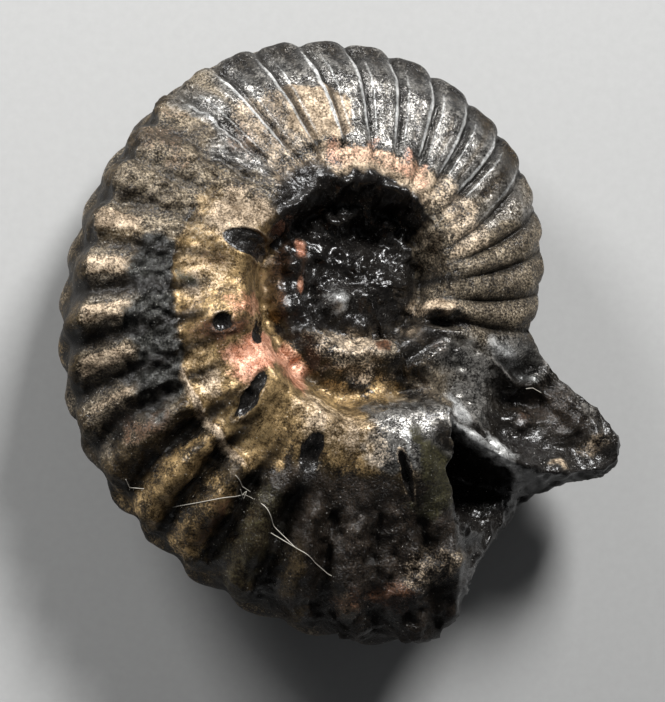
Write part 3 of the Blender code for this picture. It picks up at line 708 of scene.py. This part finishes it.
def noise(nodes, links, place, scale, detail, roughness):
    """A noise pattern over a place in metres, given by its scale, finer layers and strength."""
    node = nodes.new("ShaderNodeTexNoise")
    node.inputs["Scale"].default_value = scale
    node.inputs["Detail"].default_value = detail
    node.inputs["Roughness"].default_value = roughness
    links.new(place, node.inputs["Vector"])
    return node.outputs["Fac"]


def calculate(nodes, links, operation, first, second):
    """One step of arithmetic, such as ADD or MULTIPLY, on two numbers or sockets."""
    node = nodes.new("ShaderNodeMath")
    node.operation = operation
    for socket, value in zip(node.inputs, (first, second)):
        if isinstance(value, (int, float)):
            socket.default_value = value
        else:
            links.new(value, socket)
    return node.outputs[0]


def stretch(nodes, links, value, low, high, new_low, new_high):
    """Move a number smoothly from one range to another, held at both ends."""
    node = nodes.new("ShaderNodeMapRange")
    node.interpolation_type = "SMOOTHSTEP"
    for socket, number in zip(node.inputs[1:5], (low, high, new_low, new_high)):
        socket.default_value = number
    links.new(value, node.inputs[0])
    return node.outputs[0]


def mixed(nodes, links, kind, share, first, second):
    """Mix two colours, or two numbers, by a share."""
    node = nodes.new("ShaderNodeMix")
    node.data_type = kind
    lows, highs = (6, 7) if kind == "RGBA" else (2, 3)
    for index, value in ((0, share), (lows, first), (highs, second)):
        if isinstance(value, (int, float)):
            node.inputs[index].default_value = value
        elif isinstance(value, tuple):
            node.inputs[index].default_value = (*value, 1.0)
        else:
            links.new(value, node.inputs[index])
    return node.outputs[2 if kind == "RGBA" else 0]


# Stone finishes, laid over each other from first to last: the mask they follow, two tones that
# mottle them, how much of the mottling is fine grain, roughness, metal share, and varnish share.
FINISHES = (
    ("bronze", (0.010, 0.007, 0.004), (0.080, 0.057, 0.030), 0.6, 0.36, 0.4, 0.15),
    ("crumb", (0.0035, 0.0028, 0.0022), (0.034, 0.025, 0.018), 0.7, 0.33, 0.0, 0.15),
    ("gold", (0.058, 0.036, 0.015), (0.47, 0.32, 0.15), 0.40, 0.33, 0.45, 0.12),
    ("ash", (0.026, 0.020, 0.014), (0.27, 0.22, 0.155), 0.7, 0.42, 0.2, 0.05),
    ("silver", (0.004, 0.0037, 0.0033), (0.30, 0.285, 0.26), 0.55, 0.22, 0.6, 0.55),
    ("tan", (0.085, 0.058, 0.034), (0.66, 0.52, 0.37), 0.50, 0.50, 0.1, 0.0),
    ("salmon", (0.30, 0.108, 0.055), (0.75, 0.42, 0.29), 0.45, 0.40, 0.15, 0.1),
    ("green", (0.012, 0.011, 0.006), (0.056, 0.051, 0.026), 0.6, 0.40, 0.0, 0.2),
    ("rust", (0.022, 0.011, 0.006), (0.13, 0.062, 0.034), 0.7, 0.42, 0.05, 0.1),
    ("crust", (0.003, 0.0026, 0.0024), (0.022, 0.020, 0.018), 0.8, 0.24, 0.0, 0.35),
    ("slate", (0.004, 0.004, 0.0036), (0.075, 0.074, 0.066), 0.8, 0.36, 0.0, 0.15),
    # The edge finish is painted highlight: bright thin lines on the young ribs' rims and on the
    # broken end.
    ("edge", (0.30, 0.30, 0.29), (0.80, 0.80, 0.78), 0.3, 0.26, 0.3, 0.5))
STONE_DARK = (0.006, 0.005, 0.004)
STONE_LIGHT = (0.040, 0.032, 0.022)
STONE_ROUGHNESS = (0.22, 0.40)
STONE_METAL = 0.1
STONE_VARNISH = 0.4
# Painted shade in the grooves and slits.
GROOVE_SHADE_COLOUR = (0.006, 0.005, 0.004)
CRACK_COLOUR = (0.008, 0.006, 0.005)
# Painted glints.
PAINTED_GLINT_COLOUR = (0.72, 0.70, 0.65)
DULL_ROUGHNESS = 0.6      # of the outer face and the rear, which have little metal or varnish
VARNISH_ROUGHNESS = 0.12
SPECULAR = 0.15
BUMP_STRENGTH = 0.7
BUMP_HEIGHT = 0.00030     # in metres
BORDER_REACH = 1.5        # how far noise moves a finish's border
THIN_REACH = 0.6          # the same for the painted highlights of the edge finish

# Noise patterns: scale per metre, how many finer layers, and how strong each of those is.
CLOUDS = (450, 4, 0.6)
MOTTLING = (1300, 4, 0.6)
GRAIN = (6200, 2, 0.6)
STRANDS = (2600, 3, 0.55)

stone = bpy.data.materials.new("fossil_stone")
stone.use_nodes = True
nodes, links = stone.node_tree.nodes, stone.node_tree.links
shader = nodes["Principled BSDF"]
place = nodes.new("ShaderNodeTexCoord").outputs["Object"]
broad = noise(nodes, links, place, *CLOUDS)
mottle = noise(nodes, links, place, *MOTTLING)
fine = noise(nodes, links, place, *GRAIN)
strands = noise(nodes, links, place, *STRANDS)

# Thin wandering cracks lie where the strands cross their middle value. Painted glints and dark pits
# lie where the grain is highest and lowest.
off_middle = calculate(nodes, links, "SUBTRACT", strands, 0.5)
off_middle = calculate(nodes, links, "ABSOLUTE", off_middle, 0)
crack = stretch(nodes, links, off_middle, 0.003, 0.028, 1.0, 0.0)
painted_glint_spots = stretch(nodes, links, fine, 0.69, 0.74, 0.0, 1.0)
cloudy = stretch(nodes, links, mottle, 0.38, 0.62, 0.0, 1.0)
grainy = stretch(nodes, links, fine, 0.36, 0.68, 0.0, 1.0)
pits = stretch(nodes, links, fine, 0.33, 0.39, 0.5, 0.0)


def attribute(name):
    """A mask that was worked out for each vertex."""
    node = nodes.new("ShaderNodeAttribute")
    node.attribute_name = name
    return node.outputs["Fac"]


# The bare stone, and over it each finish where its mask says, with a border that noise frays.
shade = stretch(nodes, links, broad, 0.32, 0.66, 0.35, 1.3)
tone = calculate(nodes, links, "MULTIPLY", cloudy, grainy)
colour = mixed(nodes, links, "RGBA", tone, STONE_DARK, STONE_LIGHT)
rough = stretch(nodes, links, mottle, 0.3, 0.7, *STONE_ROUGHNESS)
metal = STONE_METAL
varnish = STONE_VARNISH
spread = mixed(nodes, links, "FLOAT", 0.6, mottle, fine)
spread = calculate(nodes, links, "SUBTRACT", spread, 0.5)
for name, deep, bright, fineness, roughness, metallic, coat in FINISHES:
    mask = attribute(name)
    reach = THIN_REACH if name == "edge" else BORDER_REACH
    frayed = calculate(nodes, links, "MULTIPLY", spread, reach)
    frayed = calculate(nodes, links, "ADD", mask, frayed)
    covered = stretch(nodes, links, frayed, 0.2, 0.8, 0.0, 1.0)
    covered = calculate(nodes, links, "MULTIPLY", covered,
                        stretch(nodes, links, mask, 0.0, 0.35, 0.0, 1.0))
    tone = mixed(nodes, links, "FLOAT", fineness, cloudy, grainy)
    tone = calculate(nodes, links, "MULTIPLY", tone, shade)
    look = mixed(nodes, links, "RGBA", tone, deep, bright)
    colour = mixed(nodes, links, "RGBA", covered, colour, look)
    rough = mixed(nodes, links, "FLOAT", covered, rough, roughness)
    metal = mixed(nodes, links, "FLOAT", covered, metal, metallic)
    varnish = mixed(nodes, links, "FLOAT", covered, varnish, coat)

# Cracks and pits in dark colour, then painted shade in the grooves and slits, then painted glints.
cracked = calculate(nodes, links, "MULTIPLY", crack, 0.7)
colour = mixed(nodes, links, "RGBA", cracked, colour, CRACK_COLOUR)
colour = mixed(nodes, links, "RGBA", pits, colour, CRACK_COLOUR)
colour = mixed(nodes, links, "RGBA", attribute("groove"), colour, GROOVE_SHADE_COLOUR)
glint = calculate(nodes, links, "MULTIPLY", broad, 0.9)
glint = calculate(nodes, links, "MULTIPLY", painted_glint_spots, glint)
colour = mixed(nodes, links, "RGBA", glint, colour, PAINTED_GLINT_COLOUR)
links.new(colour, shader.inputs["Base Color"])

# Where the stone is dull it is rougher, with less varnish and less metal.
dull = attribute("dull")
looks = {"Roughness": (0.7, rough, DULL_ROUGHNESS), "Coat Weight": (0.9, varnish, 0.0),
         "Metallic": (0.8, metal, 0.0)}
for socket, (strength, usual, dulled) in looks.items():
    part = calculate(nodes, links, "MULTIPLY", dull, strength)
    links.new(mixed(nodes, links, "FLOAT", part, usual, dulled), shader.inputs[socket])
shader.inputs["Coat Roughness"].default_value = VARNISH_ROUGHNESS
shader.inputs["Specular IOR Level"].default_value = SPECULAR

# The bump: mottling and grain stand up and cracks go down, as far as the grit mask allows.
raised = calculate(nodes, links, "MULTIPLY", fine, 0.45)
raised = calculate(nodes, links, "ADD", mottle, raised)
sunk = calculate(nodes, links, "MULTIPLY", crack, 0.12)
height = calculate(nodes, links, "SUBTRACT", raised, sunk)
height = calculate(nodes, links, "MULTIPLY", height, attribute("grit"))
bump = nodes.new("ShaderNodeBump")
bump.inputs["Strength"].default_value = BUMP_STRENGTH
bump.inputs["Distance"].default_value = BUMP_HEIGHT
links.new(height, bump.inputs["Height"])
links.new(bump.outputs["Normal"], shader.inputs["Normal"])
links.new(bump.outputs["Normal"], shader.inputs["Coat Normal"])
mesh.materials.append(stone)
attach(fossil, "root")
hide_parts("ammonite")


# Lint. A few loose paper and cotton fibres caught on the stone, paler than it and less than a
# tenth of a millimetre thick. Each lies across the ribs' crests and hangs free between them.

FIBRE_RADIUS = 0.03       # in millimetres
FIBRE_SIDES = 6
FIBRE_LIFT = 0.24         # of a fibre's middle over the stone, in millimetres
FIBRE_PATHS = (((-14.2, -16.9), (-12.3, -16.7), (-10.1, -16.3), (-9.3, -16.0), (-8.9, -16.5),
                (-8.3, -17.1), (-7.5, -18.4), (-5.7, -20.1)),
               ((-9.9, -15.8), (-9.4, -16.4), (-9.2, -15.8), (-9.7, -16.2)),
               ((-7.6, -18.9), (-5.5, -20.2), (-3.0, -21.7), (-1.9, -22.4)),
               ((-17.6, -14.9), (-17.1, -15.4), (-16.3, -15.6)),
               ((-10.6, -14.9), (-9.8, -15.6), (-9.0, -15.9)),
               ((13.1, -7.1), (13.7, -7.0), (14.4, -7.3)))
FIBRE_STEPS = 40
COTTON_DARK = (0.22, 0.20, 0.165)
COTTON_PALE = (0.50, 0.47, 0.41)
COTTON_NOISE = (2500, 2, 0.5)
COTTON_ROUGHNESS = 0.7


def fibre(path):
    """A thin tube along a path seen from the front.

    The path's corners are eased over, its height is the straight line between the stone's
    heights at its corners, or the stone's own height plus FIBRE_LIFT where that is higher, and
    round each place a ring of FIBRE_SIDES vertices lies square to the path.
    """
    corners = np.array(path)
    gone = np.concatenate([[0.0], np.cumsum(np.hypot(*np.diff(corners, axis=0).T))])
    at = np.linspace(0.0, gone[-1], FIBRE_STEPS)
    flat = np.stack([np.interp(at, gone, corners[:, axis]) for axis in (0, 1)])
    eased = np.concatenate([flat[:, :1], (flat[:, :-2] + flat[:, 1:-1] + flat[:, 2:]) / 3.0,
                            flat[:, -1:]], axis=1)
    under = front_height(np.degrees(np.arctan2(eased[1], eased[0])) % 360.0, np.hypot(*eased))
    level = np.interp(at, gone, np.interp(gone, at, under))
    line = np.stack([*eased, np.maximum(level, under) + FIBRE_LIFT], axis=1)
    ahead = np.gradient(line, axis=0)
    side = np.cross(ahead, (0.0, 0.0, 1.0))
    side = side / np.linalg.norm(side, axis=1, keepdims=True)
    over = np.cross(side, ahead)
    over = over / np.linalg.norm(over, axis=1, keepdims=True)
    turn = np.arange(FIBRE_SIDES) * 2.0 * math.pi / FIBRE_SIDES
    ring = np.cos(turn)[:, None] * side[:, None] + np.sin(turn)[:, None] * over[:, None]
    rings = line[:, None] + FIBRE_RADIUS * ring
    return np.concatenate([line[:1], rings.reshape(-1, 3), line[-1:]])


tubes = np.concatenate([fibre(path) for path in FIBRE_PATHS])
ends, walls, tips = net_faces(FIBRE_STEPS, FIBRE_SIDES)
each = 2 + FIBRE_STEPS * FIBRE_SIDES
fibre_faces = []
for count in range(len(FIBRE_PATHS)):
    for part in (ends, walls, tips):
        fibre_faces.extend((part[:, ::-1] + count * each).tolist())
lint_mesh = bpy.data.meshes.new("lint")
lint_mesh.from_pydata((settle(tubes) * MM).tolist(), [], fibre_faces)
lint_mesh.shade_smooth()
lint = bpy.data.objects.new("lint", lint_mesh)
bpy.context.scene.collection.objects.link(lint)
cotton = bpy.data.materials.new("cotton")
cotton.use_nodes = True
cotton_nodes, cotton_links = cotton.node_tree.nodes, cotton.node_tree.links
cotton_place = cotton_nodes.new("ShaderNodeTexCoord").outputs["Object"]
cotton_spots = noise(cotton_nodes, cotton_links, cotton_place, *COTTON_NOISE)
cotton_tone = mixed(cotton_nodes, cotton_links, "RGBA", cotton_spots, COTTON_DARK, COTTON_PALE)
cotton_links.new(cotton_tone, cotton_nodes["Principled BSDF"].inputs["Base Color"])
cotton_nodes["Principled BSDF"].inputs["Roughness"].default_value = COTTON_ROUGHNESS
lint_mesh.materials.append(cotton)
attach(lint, "root")


# The floor: a plain pale sheet, much larger than the fossil.

FLOOR_HALF = 1.5          # in metres
PAPER_DARK = (0.34, 0.34, 0.335)
PAPER_PALE = (0.38, 0.38, 0.375)
PAPER_NOISE = (1500, 3, 0.6)
PAPER_ROUGHNESS = 0.85

floor_mesh = bpy.data.meshes.new("floor")
floor_corners = [(side_x * FLOOR_HALF, side_y * FLOOR_HALF, 0)
                 for side_x, side_y in ((-1, -1), (1, -1), (1, 1), (-1, 1))]
floor_mesh.from_pydata(floor_corners, [], [(0, 1, 2, 3)])
floor = bpy.data.objects.new("floor", floor_mesh)
bpy.context.scene.collection.objects.link(floor)
paper = bpy.data.materials.new("pale_floor")
paper.use_nodes = True
paper_nodes, paper_links = paper.node_tree.nodes, paper.node_tree.links
paper_place = paper_nodes.new("ShaderNodeTexCoord").outputs["Object"]
speckle = noise(paper_nodes, paper_links, paper_place, *PAPER_NOISE)
paper_tone = mixed(paper_nodes, paper_links, "RGBA", speckle, PAPER_DARK, PAPER_PALE)
paper_links.new(paper_tone, paper_nodes["Principled BSDF"].inputs["Base Color"])
paper_nodes["Principled BSDF"].inputs["Roughness"].default_value = PAPER_ROUGHNESS
floor_mesh.materials.append(paper)


# The camera stands over the fossil, tipped to its left and below the coil's axis, far away with
# a long lens. The coil's centre falls on the same pixel as in the photograph.

TIP_LEFT = 16             # degrees
TIP_BELOW = 8
PICTURE_MIDDLE = (332.5, 351.0)   # in pixels from the picture's top left corner
COIL_PIXEL = (350.0, 290.0)
PICTURE_HEIGHT = 702.0    # in pixels
PIXELS_PER_MM = 13.53
CAMERA_AWAY = 0.60        # in metres
SENSOR = 36.0             # in millimetres

lean = Matrix.Rotation(math.radians(LEAN_Y), 3, "Y") @ Matrix.Rotation(math.radians(LEAN_X), 3, "X")
view_to = Vector((-math.sin(math.radians(TIP_LEFT)), -math.sin(math.radians(TIP_BELOW)), 1.0))
view_to = view_to.normalized()
right = Vector((0.0, 1.0, 0.0)).cross(view_to).normalized()
up = view_to.cross(right)
view_to, right, up = lean @ view_to, lean @ right, lean @ up
aim = Vector(AXIS_AT) * MM
aim = aim + right * (PICTURE_MIDDLE[0] - COIL_PIXEL[0]) / PIXELS_PER_MM * MM
aim = aim + up * (COIL_PIXEL[1] - PICTURE_MIDDLE[1]) / PIXELS_PER_MM * MM
camera = bpy.data.objects.new("camera", bpy.data.cameras.new("camera"))
bpy.context.scene.collection.objects.link(camera)
camera.matrix_world = Matrix.Translation(aim + view_to * CAMERA_AWAY) @ Matrix(
    (right, up, view_to)).transposed().to_4x4()
camera.data.sensor_width = SENSOR
camera.data.lens = SENSOR * CAMERA_AWAY / (PICTURE_HEIGHT / PIXELS_PER_MM * MM)
bpy.context.scene.camera = camera


# Light: two soft boxes above the picture's top corners, the right one stronger, and a pale room.

def soft_box(name, across, upward, toward, size, power):
    """A square lamp aimed at the fossil, placed by metres along the picture's own axes."""
    lamp = bpy.data.objects.new(name, bpy.data.lights.new(name, "AREA"))
    bpy.context.scene.collection.objects.link(lamp)
    lamp.location = aim + right * across + up * upward + view_to * toward
    lamp.rotation_euler = (aim - lamp.location).to_track_quat("-Z", "Y").to_euler()
    lamp.data.size = size
    lamp.data.energy = power


soft_box("right_key", 0.15, 0.28, 0.23, 0.12, 2.7)
soft_box("left_key", -0.20, 0.26, 0.21, 0.12, 1.9)
room = bpy.data.worlds.new("room")
room.use_nodes = True
room.node_tree.nodes["Background"].inputs["Color"].default_value = (0.80, 0.82, 0.85, 1.0)
room.node_tree.nodes["Background"].inputs["Strength"].default_value = 0.10
bpy.context.scene.world = room
bpy.context.scene.view_settings.view_transform = "Standard"
